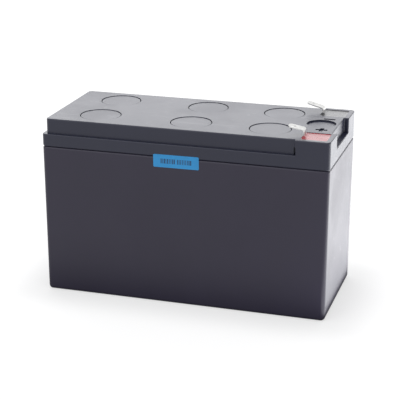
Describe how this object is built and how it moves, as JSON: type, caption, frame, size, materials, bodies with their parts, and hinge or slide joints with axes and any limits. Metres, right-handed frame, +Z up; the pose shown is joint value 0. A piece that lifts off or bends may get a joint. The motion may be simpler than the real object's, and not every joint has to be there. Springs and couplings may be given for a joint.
{
  "type": "sealed lead-acid battery block for an uninterruptible power supply",
  "caption": "Sealed lead-acid battery block in a charcoal plastic case, with push-on blade terminals potted in red and black, that slides into an uninterruptible power supply.",
  "frame": {"origin": "centre of the base, on the surface that the block stands on", "axes": "+X along the block towards its terminal end, -Y its front, +Z up"},
  "size_m": [0.151, 0.0651, 0.0993],
  "materials": {
    "container_plastic": "charcoal moulded ABS, fine even grain, satin",
    "lid_plastic": "charcoal moulded ABS, a little smoother than the container",
    "blue_label": "light blue printed film sticker",
    "tinned_brass": "bright tin plating on stamped brass",
    "red_epoxy": "glossy red potting epoxy",
    "black_epoxy": "glossy black potting epoxy",
    "valve_rubber": "soft black rubber",
    "lead": "dull cast lead alloy",
    "positive_paste": "dark brown lead dioxide paste on a lead grid",
    "negative_paste": "grey spongy lead paste on a lead grid",
    "glass_mat": "white absorbent glass mat"
  },
  "bodies": {
    "root": {"container": "container_plastic", "lid": "lid_plastic", "rating_label": "blue_label", "valve_cover_1": "lid_plastic", "valve_cover_2": "lid_plastic", "valve_cover_3": "lid_plastic", "valve_cover_4": "lid_plastic", "valve_cover_5": "lid_plastic", "valve_cover_6": "lid_plastic", "valve_cap_1": "valve_rubber", "valve_cap_2": "valve_rubber", "valve_cap_3": "valve_rubber", "valve_cap_4": "valve_rubber", "valve_cap_5": "valve_rubber", "valve_cap_6": "valve_rubber", "positive_terminal": "tinned_brass", "positive_post": "lead", "positive_post_seal": "valve_rubber", "positive_potting": "red_epoxy", "negative_terminal": "tinned_brass", "negative_post": "lead", "negative_post_seal": "valve_rubber", "negative_potting": "black_epoxy", "cell_1_positive_plates": "positive_paste", "cell_1_negative_plates": "negative_paste", "cell_1_separators": "glass_mat", "cell_1_positive_strap": "lead", "cell_1_negative_strap": "lead", "cell_2_positive_plates": "positive_paste", "cell_2_negative_plates": "negative_paste", "cell_2_separators": "glass_mat", "cell_2_positive_strap": "lead", "cell_2_negative_strap": "lead", "cell_3_positive_plates": "positive_paste", "cell_3_negative_plates": "negative_paste", "cell_3_separators": "glass_mat", "cell_3_positive_strap": "lead", "cell_3_negative_strap": "lead", "cell_4_positive_plates": "positive_paste", "cell_4_negative_plates": "negative_paste", "cell_4_separators": "glass_mat", "cell_4_positive_strap": "lead", "cell_4_negative_strap": "lead", "cell_5_positive_plates": "positive_paste", "cell_5_negative_plates": "negative_paste", "cell_5_separators": "glass_mat", "cell_5_positive_strap": "lead", "cell_5_negative_strap": "lead", "cell_6_positive_plates": "positive_paste", "cell_6_negative_plates": "negative_paste", "cell_6_separators": "glass_mat", "cell_6_positive_strap": "lead", "cell_6_negative_strap": "lead"}
  },
  "joints": []
}
